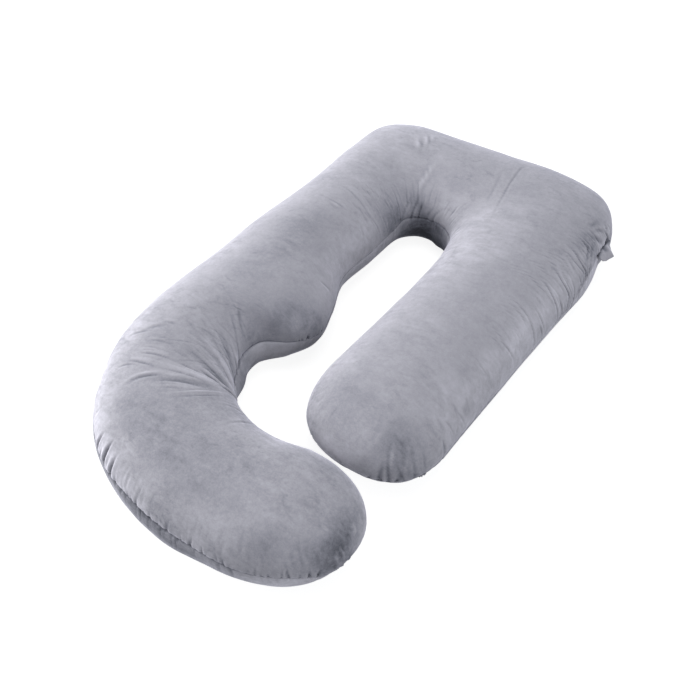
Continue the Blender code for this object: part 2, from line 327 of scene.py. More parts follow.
def ring_faces():
    """Faces from ring to ring, and the triangles that close both tips, all facing in."""
    kept = [ring_columns(place) for place in ring_places]
    found = []
    for ring in range(count - 1):
        a, b = ring * around, (ring + 1) * around
        shared = sorted(kept[ring] & kept[ring + 1])
        for j, k in zip(shared, shared[1:] + [around]):
            if k - j > 1 and j + 1 in kept[ring]:
                found += fan_out(b, a, j, k, False)
            elif k - j > 1 and j + 1 in kept[ring + 1]:
                found += fan_out(a, b, j, k, True)
            else:
                found.append((a + j, a + k % around, b + k % around, b + j))
    first, last = sorted(kept[0]), sorted(kept[-1])
    far = (count - 1) * around
    tip = count * around
    found += [(tip, k, j) for j, k in zip(first, first[1:] + first[:1])]
    return found + [(tip + 1, far + j, far + k) for j, k in zip(last, last[1:] + last[:1])]


def roll_seam_down(points):
    """Slides the cloth down where the seam has rolled under, along the same surface."""
    share = smooth((sides + 1) / 2)
    amount = inner_drops[:, None] + (outer_drops - inner_drops)[:, None] * share
    amount = np.append(amount.ravel(), [OUTER_DROPS[0][1], OUTER_DROPS[-1][1]])
    height = points[:, 2] - SEAM_HEIGHT
    near = np.where(height > 0, 1 - height / (CROWN - SEAM_HEIGHT), 1 + height / SEAM_HEIGHT)
    amount *= np.clip(near, 0, 1)
    surface = bvhtree.BVHTree.FromPolygons(points.tolist(), faces)
    slid = points.copy()
    for index in np.flatnonzero(np.abs(amount) > LEAST_DROP):
        x, y, z = points[index]
        slid[index] = surface.find_nearest((x, y, z - amount[index]))[0]
    return slid


faces = ring_faces()
points = roll_seam_down(np.vstack([rings.reshape(-1, 3), tips]))
rings = points[:-2].reshape(count, around, 3)

# The edge seam as one closed line: from the arm's tip along the outer edge to the hook's tip, and
# back along the inner edge.
seam = np.vstack([points[-2:-1], rings[:, 0], points[-1:], rings[::-1, top_count - 1]])
travel = lengths_along(np.vstack([seam, seam[:1]])[:, :2])
seam_length = travel[-1]
travel = travel[:-1]
ahead = (np.roll(seam, -1, axis=0) - np.roll(seam, 1, axis=0))[:, :2]
ahead /= np.linalg.norm(ahead, axis=1)[:, None]
outwards = np.stack([ahead[:, 1], -ahead[:, 0]], axis=1)

along = np.gradient(rings, axis=0)
about = (np.roll(rings, -1, axis=1) - np.roll(rings, 1, axis=1)) / 2
normals = np.cross(along, about)
normals /= np.linalg.norm(normals, axis=2, keepdims=True) + 1e-12
tip_normals = np.array([[*outwards[0], 0.0], [*outwards[count + 1], 0.0]])
normals = np.vstack([normals.reshape(-1, 3), tip_normals])

# Every point's place by the seam: which point of it is nearest, how far along, and how far away.
tree = kdtree.KDTree(len(seam))
for index, spot in enumerate(seam):
    tree.insert(spot, index)
tree.balance()
nearest = np.array([tree.find(spot)[1] for spot in points])
gap = points - seam[nearest]
seam_place = travel[nearest] + (gap[:, :2] * ahead[nearest]).sum(axis=1)
from_seam = np.hypot((gap[:, :2] * outwards[nearest]).sum(axis=1), gap[:, 2])
on_top = np.append(np.tile(np.arange(around) < top_count, count), [True, True])


def seam_at(name, edge):
    """How far along the seam a section's outer or inner edge lies. The two tips have names too."""
    if name == "arm_tip":
        return seam_length if edge == "inner" else 0.0
    if name == "hook_tip":
        return travel[count + 1]
    station = len(arm) + np.searchsorted(run_places, SECTION_NAMES.index(name))
    return travel[1 + station] if edge == "outer" else travel[len(seam) - 1 - station]


# Folds: each runs from its start a through its middle b to its end c, and is deepest at its peak,
# a share of its length. Width is half the trough, a depth below zero is a ridge, and a fold that
# leans has a steep side on its left and a full one on its right. A fold that crosses the seam has
# faded out at its wrap below it. The rows count in millimetres from the pillow's own centre.
Fold = namedtuple("Fold", "start middle end width depth peak lean wrap", defaults=(0.4, 0.3, 0.010))
FOLDS = [
    Fold((ax / 1000, ay / 1000), (bx / 1000, by / 1000), (cx / 1000, cy / 1000), width / 1000,
         depth / 1000, *peak_and_lean)
    for ax, ay, bx, by, cx, cy, width, depth, *peak_and_lean in (
    # the deep tuck pulled out of the inner bend, and the folds beside it
    (-44, -366, -57, -387, -82, -399, 3, 5.6, 0.2, 0.6),
    (-66, -390, -92, -397, -120, -398, 2.8, 3.4, 0.4, 0.6),
    (-50, -374, -88, -385, -130, -387, 2.6, 2, 0.4, 0.5),
    (-48, -390, -98, -408, -151, -429, 2.6, -1.4, 0.4, 0),
    # wide soft swells and hollows that run out of the bend under the finer folds
    (-50, -372, -100, -379, -195, -372, 7.5, 3, 0.3, 0.3),
    (-56, -398, -110, -419, -195, -446, 7, -2.6, 0.35, 0),
    (-56, -420, -110, -452, -185, -500, 8, 2.4, 0.4, 0),
    (-62, -352, -120, -338, -215, -318, 7, -2, 0.4, 0),
    (-75, -333, -125, -305, -200, -262, 7, 2, 0.35, 0),
    # long arcs that sweep from there over the arm's back to its outer side
    (-240, -455, -187, -442, -145, -427, 2.4, -1, 0.45, 0),
    (-241, -467, -207, -458, -158, -450, 3, 2.2, 0.5, -0.8),
    (-170, -452, -118, -431, -60, -408, 2.4, 1.2, 0.45, -0.5),
    (-229, -441, -196, -427, -152, -419, 2.6, 2, 0.4, -0.7),
    (-165, -421, -120, -412, -68, -398, 2.4, 1.3, 0.5, -0.4),
    (-241, -434, -214, -420, -180, -412, 2.8, -1, 0.45, 0),
    (-198, -524, -180, -486, -134, -454, 4, 1.8, 0.6, -0.9),
    (-152, -464, -106, -439, -54, -408, 2.4, 1.2, 0.45, -0.4),
    (-150, -488, -116, -463, -72, -438, 2.8, -1.1, 0.45, 0),
    (-144, -500, -108, -474, -66, -447, 2.6, 0.9, 0.45, -0.3),
    (-125, -506, -68, -448, -40, -384, 2.6, -1.4, 0.55, 0),
    (-116, -512, -60, -455, -34, -392, 2.8, 1, 0.55, -0.3),
    (-186, -437, -136, -424, -86, -410, 2.2, 0.9, 0.45, -0.3),
    (-250, -490, -231, -475, -201, -466, 2.6, 1.3, 0.45, -0.4),
    (-236, -424, -205, -414, -160, -404, 2.4, 1, 0.4, -0.5),
    # soft short lines over the arm's back behind them
    (-262, -352, -235, -343, -205, -334, 3.4, 0.8, 0.45, -0.4),
    (-298, -413, -273, -392, -238, -376, 3.4, 1, 0.45, -0.4),
    (-240, -406, -213, -394, -178, -387, 3, 1, 0.45, -0.5),
    (-280, -398, -254, -366, -222, -340, 5.6, 0.9, 0.4, -0.5),
    # fine lines that fan from the inner bend up the arm
    (-54, -358, -101, -323, -200, -297, 2.2, 1.4, 0.3, 0.4),
    (-62, -346, -112, -298, -150, -282, 2.2, 1.1, 0.35, 0.4),
    (-55, -367, -104, -347, -170, -335, 2.2, 1.4, 0.4, 0.4),
    (-58, -374, -104, -368, -170, -362, 2.2, 1.2, 0.4, 0.4),
    (-63, -378, -117, -376, -183, -377, 2.2, 1.2, 0.4, 0.4),
    (-100, -340, -152, -329, -215, -318, 2, 0.9, 0.5, 0.3),
    (-108, -367, -148, -364, -200, -361, 2, 0.8, 0.45, 0.3),
    (-92, -319, -121, -276, -144, -258, 2.2, 1, 0.35, 0.4),
    (-86, -346, -130, -338, -180, -330, 2.2, 1, 0.45, 0.3),
    (-80, -336, -128, -322, -239, -277, 2.2, 1, 0.35, 0.4),
    (-90, -323, -158, -294, -247, -266, 2, 0.9, 0.45, 0.4),
    (-96, -311, -124, -290, -175, -264, 2.2, 1, 0.3, 0.4),
    (-111, -290, -130, -268, -176, -232, 2.2, 0.8, 0.35, 0.3),
    (-120, -392, -160, -398, -210, -400, 2.4, 0.8, 0.5, -0.3),
    (-130, -341, -170, -346, -204, -344, 2.8, -0.8, 0.5, 0),
    (-100, -356, -140, -354, -180, -352, 2.8, -1, 0.4, 0),
    # a small dent beside the lobe
    (-176, -206, -158, -226, -128, -254, 3, 1.6, 0.3, 0.4),
    (-178, -232, -153, -250, -132, -264, 2.8, 1, 0.5, 0.3),
    # below the bend
    (20, -408, -4, -418, -30, -445, 3.4, 1.4),
    (50, -430, 34, -454, 23, -490, 3.4, 1.3),
    (0, -402, -18, -418, -42, -446, 3, 0.9, 0.4, 0),
    # a line above the lobe's tip
    (-98, -26, -87, -21, -74, -10, 2.7, 2, 0.5, 0.4),
    # gathered round the top of the opening between the arms
    (-97, 346, -93, 366, -90, 394, 2.2, 1.8, 0.35, 0.4),
    (-110, 334, -109, 352, -107, 378, 2, 1.5),
    (-84, 356, -80, 370, -76, 388, 2, 1.4, 0.3, 0.3),
    (-108, 322, -129, 334, -180, 356, 2, 1.1, 0.3, 0.3),
    (-104, 236, -143, 227, -208, 205, 2.2, 1.5, 0.35, 0.4),
    (-108, 228, -151, 220, -238, 204, 1.9, 1, 0.45, 0.3),
    (-167, 196, -209, 190, -293, 197, 2.8, 1),
    (-174, 236, -209, 246, -240, 254, 2.8, 1.1, 0.4, 0),
    (-122, 300, -155, 294, -197, 291, 1.9, 0.8),
    (-114, 308, -140, 306, -184, 308, 1.9, 0.8),
    (-109, 268, -127, 262, -165, 252, 1.9, 0.9, 0.3, 0.3),
    (-107, 204, -136, 172, -192, 145, 1.9, 0.7),
    (-117, 176, -127, 184, -140, 192, 2.8, 1.4, 0.5, 0),
    (-104, 372, -103, 424, -102, 488, 5.6, -1.6, 0.55, -0.3),
    (-226, 172, -201, 184, -178, 200, 3.1, -1.8, 0.5, 0.4),
    (0, 368, 7, 378, 10, 396, 2.7, 1.6, 0.5, 0.3),
    (-56, 366, -34, 376, -10, 386, 2, 1.2),
    (-68, 366, -56, 374, -42, 384, 1.9, 1),
    # the long crease across the head, and a shallow one beside it
    (79, 622, 95, 466, 134, 280, 2.8, 1.6),
    (45, 545, 68, 457, 75, 374, 4, 0.7, 0.5, 0),
    # a light ridge behind the head's left corner
    (-196, 486, -176, 535, -162, 606, 5, -2.2, 0.45, 0.5),
    # across the outer side of the straight arm, below the tab
    (367, 232, 339, 234, 283, 248, 2.5, 3.6, 0.3, 0.4),
    (368, 262, 361, 251, 349, 249, 2, 3.7, 0.35, 0.3),
    (367, 298, 341, 286, 285, 304, 2.5, 3.6, 0.4, 0.4),
    (366, 308, 339, 303, 303, 318, 1.8, 1.4, 0.35, 0.3),
    (366, 388, 340, 374, 300, 390, 2.3, 3.4, 0.4, 0.4),
    (366, 304, 353, 297, 339, 306, 1.8, 2.8),
    (366, 350, 361, 346, 347, 348, 2, 3.2),
    (366, 376, 363, 384, 353, 392, 2.1, 3.9, 0.35, 0.3),
    (364, 168, 349, 166, 324, 168, 2.3, 2.5, 0.4, 0.4),
    (364, 122, 344, 132, 302, 138, 2.5, 2.2, 0.35, 0.4),
    (350, 114, 319, 121, 282, 132, 2.1, 1.4),
    (365, 164, 360, 157, 352, 153, 1.8, 2.5),
    (360, 40, 340, 34, 309, 28, 2.4, 2.1),
    (356, 76, 335, 80, 312, 85, 2.1, 1.5),
    (302, 208, 266, 215, 226, 219, 2, 1.1, 0.5, 0.3),
    (298, 261, 267, 265, 238, 266, 2, 1, 0.5, 0.3),
    (320, 315, 290, 319, 258, 322, 1.8, 0.9, 0.5, 0.3),
    (362, 222, 326, 220, 287, 221, 1.8, 1.1),
    (363, 189, 332, 190, 289, 190, 1.8, 1),
    (359, 326, 324, 331, 289, 342, 1.8, 1.4),
    (360, -160, 350, -170, 330, -174, 2.6, 1.4),
    (360, -203, 347, -208, 331, -212, 2.4, 1.2),
    (230, 229, 281, 223, 356, 212, 2.2, 1.2, 0.6, 0.3),
    (225, 269, 278, 266, 326, 252, 2.2, 1.2, 0.6, 0.3),
    (255, 312, 303, 298, 343, 286, 2.2, 1.4, 0.6, 0.3),
    (263, 144, 310, 136, 346, 135, 2.4, 1.2, 0.6, 0.3),
    (263, 113, 305, 101, 341, 88, 2.4, 1.2, 0.6, 0.3),
    (281, 47, 317, 37, 343, 29, 2.4, 1.2, 0.6, 0.3),
    (295, -50, 328, -55, 353, -61, 2.4, 1, 0.6, 0.3),
    (295, 371, 335, 356, 364, 379, 2.2, 2.2, 0.65, 0.3),
    (307, 384, 334, 379, 358, 384, 2, 1.6, 0.65, 0.3),
    (300, 434, 334, 424, 352, 424, 2.4, 2, 0.6, 0.3),
    # crinkles that run up from the seam between the long folds
    (353, 380, 360, 374, 366, 366, 2, 3, 0.6, 0.3),
    (355, 351, 363, 346, 368, 337, 2, 3, 0.6, 0.3),
    (355, 316, 363, 313, 368, 305, 2, 2.8, 0.6, 0.3),
    (355, 288, 362, 284, 367, 275, 2, 2.6, 0.6, 0.3),
    (352, 407, 360, 397, 365, 384, 2.2, 3, 0.5, 0.3),
    # soft dents in the round end of the straight arm
    (347, -322, 335, -314, 318, -298, 3.4, 1.2, 0.2, 0.3),
    (356, -300, 345, -294, 330, -284, 3.2, 1.2, 0.2, 0.3),
    (364, -244, 356, -240, 344, -234, 3, 2, 0.25, 0.3),
    (302, -350, 299, -336, 291, -318, 3, -1.4, 0.3, 0),
    (325, -336, 324, -322, 320, -304, 3, -1.4, 0.3, 0),
    # pale ridges that slant round the hook's end
    (339, -514, 329, -507, 316, -496, 2.4, -1.8),
    (333, -490, 321, -481, 306, -471, 2.4, -1.8),
    (342, -530, 340, -534, 334, -534, 2.2, -2.2),
    (339, -548, 336, -551, 330, -551, 2.2, -2),
    (335, -561, 334, -566, 330, -569, 2.2, -1.8),
    (320, -494, 305, -484, 288, -477, 2.4, -1.2),
    # creases where the ear is sewn in: one bends round above it, and the cloth lies flat beside it
    (347, 528, 338, 532, 312, 562, 2.4, 3.2, 0.2, 0.5),
    (350, 536, 340, 526, 322, 516, 2.6, 3, 0.3, 0.4),
    (344, 545, 349.5, 498, 355, 446, 2.4, 3.4, 0.5, 0),
    (347, 532, 347, 518, 349, 506, 2.4, 3, 0.3, 0.3),
    (336, 519, 324, 500, 319, 468, 3.4, 1.3, 0.3, 0.3),
    (350, 392, 340, 420, 324, 448, 3.4, 2.2, 0.3, 0.3),
    (346, 500, 336, 484, 322, 452, 5, 2.2, 0.4, 0),
    (354, 408, 344, 434, 330, 466, 2.6, 2.2, 0.3, 0.3),
    (300, 480, 312, 500, 310, 530, 5, 1.6, 0.5, 0),
    (358, 478, 346, 474, 332, 476, 3, -1.6, 0.3, 0),
)]
# The hollow over the ear's upper end goes on below the seam.
FOLDS.append(
    Fold((0.370, 0.524), (0.350, 0.526), (0.338, 0.526), 0.0095, 0.0085, 0.20, 0.0, wrap=0.09)
)

# Fans of fine folds: they leave the seam between two places, turned by two angles from straight in.
Fan = namedtuple("Fan", "edge first last turn_first turn_last folds length width depth")
FANS = [Fan(*fan, length / 1000, width / 1000, depth / 1000) for *fan, length, width, depth in (
    ("inner", "notch", "bend", -26, -4, 9, 90, 2.2, 0.5),
    ("inner", "bend", "bend_end", -12, 14, 9, 110, 2.3, 0.5),
    ("inner", "bend_end", "hook", -10, 20, 5, 50, 2.4, 0.4),
    ("inner", "left_arm", "left_corner", -24, 6, 14, 95, 2.4, 0.6),
    ("inner", "left_corner", "head", -12, 12, 12, 45, 2.4, 0.7),
    ("inner", "head", "shoulder", -8, 18, 8, 40, 2.4, 0.5),
    ("outer", "arm", "arm_top", -14, 10, 16, 70, 2.6, 0.6),
    ("outer", "arm_top", "tab_dent", -20, 8, 20, 85, 2.5, 0.8),
    ("outer", "tab_dent", "right_corner", -10, 14, 6, 40, 2.6, 0.8),
    ("outer", "arm_tip", "arm_end", -12, 12, 12, 50, 3.6, 0.4),
    ("inner", "arm_end", "arm_tip", -12, 12, 12, 45, 3.4, 0.4),
    ("outer", "hook_end", "hook_tip", -4, 16, 14, 40, 3.2, 0.5),
    ("outer", "bend_end", "hook_end", -20, 10, 22, 26, 2.8, 0.6),
)]
draw = random.Random(41)
for fan in FANS:
    begin, finish = seam_at(fan.first, fan.edge), seam_at(fan.last, fan.edge)
    for number in range(fan.folds):
        share = (number + draw.uniform(0.05, 0.95)) / fan.folds
        place = np.interp(begin + share * (finish - begin), travel, np.arange(len(travel)))
        start, straight_in = Vector(seam[int(place), :2]), -outwards[int(place)]
        heading = Vector(straight_in)
        turn = math.radians(fan.turn_first + share * (fan.turn_last - fan.turn_first))
        heading.rotate(Matrix.Rotation(turn + draw.uniform(-0.12, 0.12), 2))
        reach = fan.length * draw.uniform(0.4, 1.2)
        start += heading * reach * draw.uniform(0.0, 0.25)
        middle = start + heading * reach * 0.5
        middle += Vector((heading.y, -heading.x)) * reach * draw.uniform(-0.07, 0.07)
        end = start + heading * reach
        width, depth = fan.width * draw.uniform(0.8, 1.3), fan.depth * draw.uniform(0.4, 1.7)
        peak, lean = draw.uniform(0.2, 0.6), draw.uniform(-0.4, 0.5)
        FOLDS.append(Fold(start[:], middle[:], end[:], width, depth, peak, lean))


FOLD_STEPS = 24
FOLD_REACH = 6  # how far to its sides a fold is felt, against its width
SHOULDER = 0.30  # how high a fold's shoulders stand, against its depth
SHOULDER_PLACE, SHOULDER_WIDTH = 2.0, 1.1  # how far out they stand, and how wide, against its width
PLEAT, PLEAT_WIDTH = 1.1, 1.6  # how much a leaning fold is pushed to one side


def fold_heights(fold):
    """What one fold adds at the points near it: a trough between two soft shoulders."""
    start, middle, end = (np.array(p) for p in fold[:3])
    steer = 2 * middle - (start + end) / 2
    t = np.linspace(0, 1, FOLD_STEPS + 1)[:, None]
    line = (1 - t) ** 2 * start + 2 * t * (1 - t) * steer + t**2 * end
    margin = FOLD_REACH * fold.width
    low, high = line.min(axis=0) - margin, line.max(axis=0) + margin
    inside = ((points[:, :2] > low) & (points[:, :2] < high)).all(axis=1)
    near = np.flatnonzero((below_seam < fold.wrap) & inside)
    spots = points[near, :2]
    best, across, share = np.full(len(near), 1e9), np.zeros(len(near)), np.zeros(len(near))
    for i in range(len(line) - 1):
        step = line[i + 1] - line[i]
        length = np.linalg.norm(step)
        way = step / length
        rel = spots - line[i]
        forward = np.clip(rel @ way, 0, length)
        off = np.linalg.norm(rel - forward[:, None] * way, axis=1)
        closer = off < best
        side = rel[:, 0] * way[1] - rel[:, 1] * way[0]
        best = np.where(closer, off, best)
        across = np.where(closer, np.copysign(off, side), across)
        share = np.where(closer, (i + forward / length) / (len(line) - 1), share)
    fade = smooth((share + 0.03) / fold.peak) * smooth((1 - share) / (1 - fold.peak))
    fade *= 1 - smooth(below_seam[near] / fold.wrap)
    v = across / (fold.width * (0.8 + 0.5 * np.abs(share - fold.peak)))
    shoulders = SHOULDER * np.exp(-(((np.abs(v) - SHOULDER_PLACE) / SHOULDER_WIDTH) ** 2))
    pleat = PLEAT * fold.lean * v * np.exp(-((v / PLEAT_WIDTH) ** 2))
    return near, fold.depth * fade * (shoulders - np.exp(-(v**2)) + pleat)


below_seam = np.where(on_top, 0.0, seam[nearest, 2] - points[:, 2])
shape_change = np.zeros(len(points))
for fold in FOLDS:
    near, heights = fold_heights(fold)
    shape_change[near] += heights

# Puckers: short wedges that the thread leaves in the panels, widest at the seam and gone at their
# length from it. These lie in the top panel, in millimetres, and each slants along the seam.
Pucker = namedtuple("Pucker", "x y length width depth slant")
PUCKERS = [Pucker(*(size / 1000 for size in sizes), slant) for *sizes, slant in (
    # the hook's outer turn
    (-190, -622, 60, 3.8, 6.8, 0.2), (-150, -638, 74, 4.6, 8.8, 0.05),
    (-124, -651, 62, 3.8, 7, 0.12), (-170, -632, 36, 2.6, 3, 0.1), (-104, -658, 30, 2.4, 1.8, 0.1),
    # the hook's outer side
    (-62, -668, 26, 2.2, 1.8, 0.3), (-36, -674, 34, 2.6, 2.2, 0.2), (-16, -677, 20, 2, 1.7, 0.3),
    (4, -680, 30, 2.4, 2.3, 0.1), (26, -682, 22, 2, 1.8, 0.3), (50, -685, 36, 2.8, 2.3, 0.15),
    (82, -686, 24, 2.2, 1.8, 0), (104, -686, 34, 2.6, 3, 0.2), (133, -683, 26, 2.2, 2.6, 0),
    (176, -678, 30, 2.4, 2.6, 0.15),
    # the lobe's tip
    (-45, -134, 16, 3, 5.6, 0.2), (-49, -147, 10, 1.8, 3.2, 0), (-53, -154, 8, 1.6, 2.4, -0.3),
    (-39, -92, 12, 3.6, 4.4, 0.3), (-42, -66, 15, 2.2, 3, 0.2),
    # the hook's end
    (232, -660, 30, 2.6, 2, 0.1), (252, -651, 26, 2.2, 2.4, -0.1), (273, -639, 30, 2.2, 1.8, 0.1),
    (281, -634, 36, 2.6, 3.4, -0.1), (297, -622, 24, 2.2, 2, 0.2), (309, -610, 34, 2.2, 2.6, 0.1),
    (321, -593, 36, 2.2, 2.6, 0.2),
    # the straight arm's end
    (250, -374, 26, 3.6, 1.8, -0.2), (268, -370, 34, 3, 2.4, 0.3), (284, -365, 76, 4.4, 2.7, 0.12),
    (294, -361, 30, 2, 2.8, -0.3), (304, -356, 90, 3.2, 3.2, -0.08), (317, -347, 40, 3.8, 3, 0.1),
    (331, -336, 74, 3.4, 2.6, -0.35), (344, -321, 34, 2.6, 1.4, 0.2),
    # below the ear
    (364, 372, 22, 2.6, 4.8, 0.2), (366, 352, 18, 2.2, 3.8, 0.2), (366, 330, 18, 2.2, 3.2, 0.2),
    (366, 306, 20, 2.2, 3.4, 0.2), (362, 396, 20, 2.2, 2.6, 0.2),
)]
# Gathers: more of them, smaller and left to chance in both panels, some hardly there.
Gather = namedtuple("Gather", "edge first last spacing length width depth")
GATHERS = [Gather(edge, first, last, *(n / 1000 for n in sizes)) for edge, first, last, *sizes in (
    ("outer", "arm_tip", "arm_end", 16, 30, 2.8, 0.4),
    ("outer", "arm_end", "arm_top", 22, 24, 2.8, 0.9),
    ("outer", "arm_top", "tab_dent", 14, 24, 2.6, 1.4),
    ("outer", "tab_dent", "right_turn", 18, 24, 2.8, 1.2),
    ("outer", "right_turn", "bend_start", 30, 20, 3.2, 0.6),
    ("outer", "bend_start", "hook_start", 18, 22, 2.8, 0.9),
    ("outer", "hook_start", "hook_end", 13, 22, 2.4, 1),
    ("outer", "hook_end", "hook_tip", 11, 20, 2.4, 1.2),
    ("inner", "hook_tip", "hook_end", 14, 20, 2.6, 0.8),
    ("inner", "bend_end", "notch", 14, 16, 2.2, 0.5),
    ("inner", "lobe_foot", "lobe_swell", 12, 10, 2, 0.5),
    ("inner", "left_arm", "shoulder", 16, 12, 2.4, 0.4),
    ("inner", "arm_end", "arm_tip", 16, 30, 2.8, 1.6),
)]
BOTTOM_SHARE = 1.2  # how deep they are in the bottom panel, against the top one
PUCKER_SPAN = 0.05
PUCKER_SHOULDER = 0.25
by_place = np.argsort(seam_place)
sorted_places = seam_place[by_place]


def add_pucker(centre, length, width, depth, slant, top):
    """Presses one pucker into the top or the bottom panel, at a place along the seam."""
    ends = np.searchsorted(sorted_places, (centre - PUCKER_SPAN, centre + PUCKER_SPAN))
    near = by_place[slice(*ends)]
    near = near[(on_top[near] == top) & (from_seam[near] < length)]
    away = from_seam[near] / length
    v = (seam_place[near] - centre - slant * from_seam[near]) / (width * (1.2 - 0.6 * away))
    wedge = PUCKER_SHOULDER * np.exp(-((np.abs(v) - SHOULDER_PLACE) ** 2)) - np.exp(-(v**2))
    shape_change[near] += depth * smooth(1.1 * (1 - away)) * wedge


for pucker in PUCKERS:
    at_seam = tree.find((pucker.x, pucker.y, SEAM_HEIGHT))[1]
    add_pucker(travel[at_seam], *pucker[2:], True)
for gather in GATHERS:
    ends = (gather.first, gather.last)
    begin, finish = sorted(seam_at(end, gather.edge) for end in ends)
    place = begin + gather.spacing * draw.uniform(0.2, 0.8)
    while place < finish:
        for top in (True, False):
            centre = place + draw.uniform(-0.3, 0.3) * gather.spacing
            length = gather.length * draw.uniform(0.4, 1.6)
            width = gather.width * draw.uniform(0.7, 1.4)
            depth = gather.depth * draw.uniform(0.0, 1.7) * (1.0 if top else BOTTOM_SHARE)
            add_pucker(centre, length, width, depth, draw.uniform(-0.6, 0.6), top)
        place += gather.spacing * draw.uniform(0.5, 1.6)

# The thread draws both panels in, and the fibre filling is a little lumpy under them.
SEAM_PULL = 0.0016
PULL_REACH = 0.0024
SEAM_HOLLOW = 0.0009
HOLLOW_REACH = 0.0100
LUMPS = ((3.6, 0.0026), (9.0, 0.0014), (24.0, 0.0005))  # how many to a metre, and how high
PRESSED_FLAT = 0.05  # below this height the floor takes them out
clear_of_floor = np.clip(points[:, 2] / PRESSED_FLAT, 0, 1)
lumps = np.array(
    [sum(size * noise.noise(Vector(p) * scale) for scale, size in LUMPS) for p in points]
)
pull = SEAM_PULL * np.exp(-from_seam / PULL_REACH)
pull += SEAM_HOLLOW * np.exp(-from_seam / HOLLOW_REACH)
moved = points + normals * ((shape_change + lumps) * clear_of_floor - pull)[:, None]
moved[:, 2] = np.maximum(moved[:, 2], 0.0)


# Patches darker or paler in plan, on the top panel or on the bottom one that shows under the seam:
# partly the pile's own tone where it is brushed one way or the other, partly painted shade inside
# the opening between the arms and in other hollows, and painted highlight along edges that face the
# light. The bottom panel is darker towards the floor as well, which is painted shade.
# The rows hold x, y and the reach across and along in millimetres, a turn in degrees, and a shade.
TOP_NAP_AND_SHADING = (
    (-215, -10, 45, 160, 4, -0.19), (-220, -385, 50, 70, 30, -0.12),
    (-150, -630, 120, 34, -28, 0.34), (-235, -560, 80, 34, -52, 0.22),
    (-300, -480, 70, 35, -65, 0.16), (-100, -560, 80, 40, -30, -0.18),
    (60, -620, 110, 45, -5, -0.16), (150, -672, 150, 30, 0, 0.05), (30, -565, 110, 55, -5, -0.09),
    (60, -540, 130, 90, 0, -0.07), (240, -640, 50, 20, 22, -0.22), (333, -540, 25, 50, 14, -0.42),
    (284, -545, 24, 40, 20, 0.12), (347, -488, 14, 34, 0, 0.22), (325, -590, 36, 26, 50, -0.34),
    (-85, -158, 36, 85, -38, -0.22), (-50, -100, 20, 35, -15, -0.12),
    (-120, -230, 26, 35, 0, -0.12), (-115, 70, 30, 80, 0, 0.12), (-160, 300, 60, 60, 0, 0.06),
    (-109, 308, 26, 52, -8, -0.5), (-80, 366, 36, 14, 0, -0.26), (-8, 388, 30, 22, 0, 0.12),
    (160, -290, 45, 60, 0, -0.18), (310, -318, 40, 44, 35, -0.32), (345, 130, 24, 220, 0, 0.22),
    (330, -180, 40, 60, 0, 0.12), (-118, 165, 24, 65, 0, 0.14), (140, 220, 60, 110, 0, 0.12),
    (-60, 420, 60, 40, 0, -0.06), (40, 500, 130, 70, 0, -0.07), (332, 450, 22, 42, 0, -0.36),
    (318, 510, 20, 20, 30, -0.18), (354, 380, 10, 30, 0, -0.22), (185, -366, 40, 14, 0, 0.18),
    (-240, 440, 80, 100, 0, 0.05),
)
BOTTOM_NAP_AND_SHADING = (
    (-64, 352, 56, 34, 0, -0.66), (30, -690, 130, 60, 0, -0.4), (175, -690, 45, 50, 0, -0.22),
    (260, -650, 90, 60, 25, 0.4), (-120, -640, 110, 60, -20, -0.34), (362, 400, 40, 70, 0, 0.38),
    (-118, -270, 30, 50, 0, -0.24), (-80, -200, 60, 40, 0, 0.3), (-110, 200, 30, 110, 0, 0.38),
    (362, 100, 40, 200, 0, 0.5),
)
NAP_EDGES = ((9.0, 0.020), (31.0, 0.009))  # how uneven their outlines are, coarse and fine
NAP_SEED = 48  # without one, each run would draw other outlines
UNDERSIDE_SHADE = 0.34
UNDERSIDE_FROM, UNDERSIDE_FADE = 0.085, 0.060
noise.seed_set(NAP_SEED)
nap_spots = points[:, :2] + sum(
    size * np.array([noise.noise_vector(Vector(p) * scale)[:2] for p in points])
    for scale, size in NAP_EDGES
)
nap_and_shading = np.zeros(len(points))
for panel, patches in ((on_top, TOP_NAP_AND_SHADING), (~on_top, BOTTOM_NAP_AND_SHADING)):
    for x, y, across, along, turn, shade in patches:
        off = (nap_spots - (x / 1000, y / 1000)) * 1000
        c, w = math.cos(math.radians(turn)), math.sin(math.radians(turn))
        u, v = (off[:, 0] * c + off[:, 1] * w) / across, (off[:, 1] * c - off[:, 0] * w) / along
        nap_and_shading += shade * panel * np.exp(-(u**2 + v**2))
# Painted shade: the bottom panel is darker towards the floor.
nap_and_shading -= UNDERSIDE_SHADE * ~on_top * smooth((UNDERSIDE_FROM - points[:, 2]) / UNDERSIDE_FADE)


def in_scene(name, data):
    """A new object, linked to the scene."""
    made = bpy.data.objects.new(name, data)
    bpy.context.scene.collection.objects.link(made)
    return made


def velour_piece(name, vertices, faces, fold_shadings, nap_and_shading_values):
    """A smooth mesh piece that carries the painted shade and highlight of its folds and seam, and
    how its pile lies, with painted shade and highlight among that.
    """
    mesh = bpy.data.meshes.new(name)
    mesh.from_pydata([tuple(v) for v in vertices], [], [tuple(f) for f in faces])
    mesh.validate()
    for label, values in (("fold_shading", fold_shadings), ("nap_and_shading", nap_and_shading_values)):
        layer = mesh.attributes.new(label, "FLOAT", "POINT")
        layer.data.foreach_set("value", np.asarray(values, np.float32))
    shell = bmesh.new()
    shell.from_mesh(mesh)
    bmesh.ops.remove_doubles(shell, verts=shell.verts, dist=1e-6)
    shell.to_mesh(mesh)
    shell.free()
    mesh.shade_smooth()
    return in_scene(name, mesh)


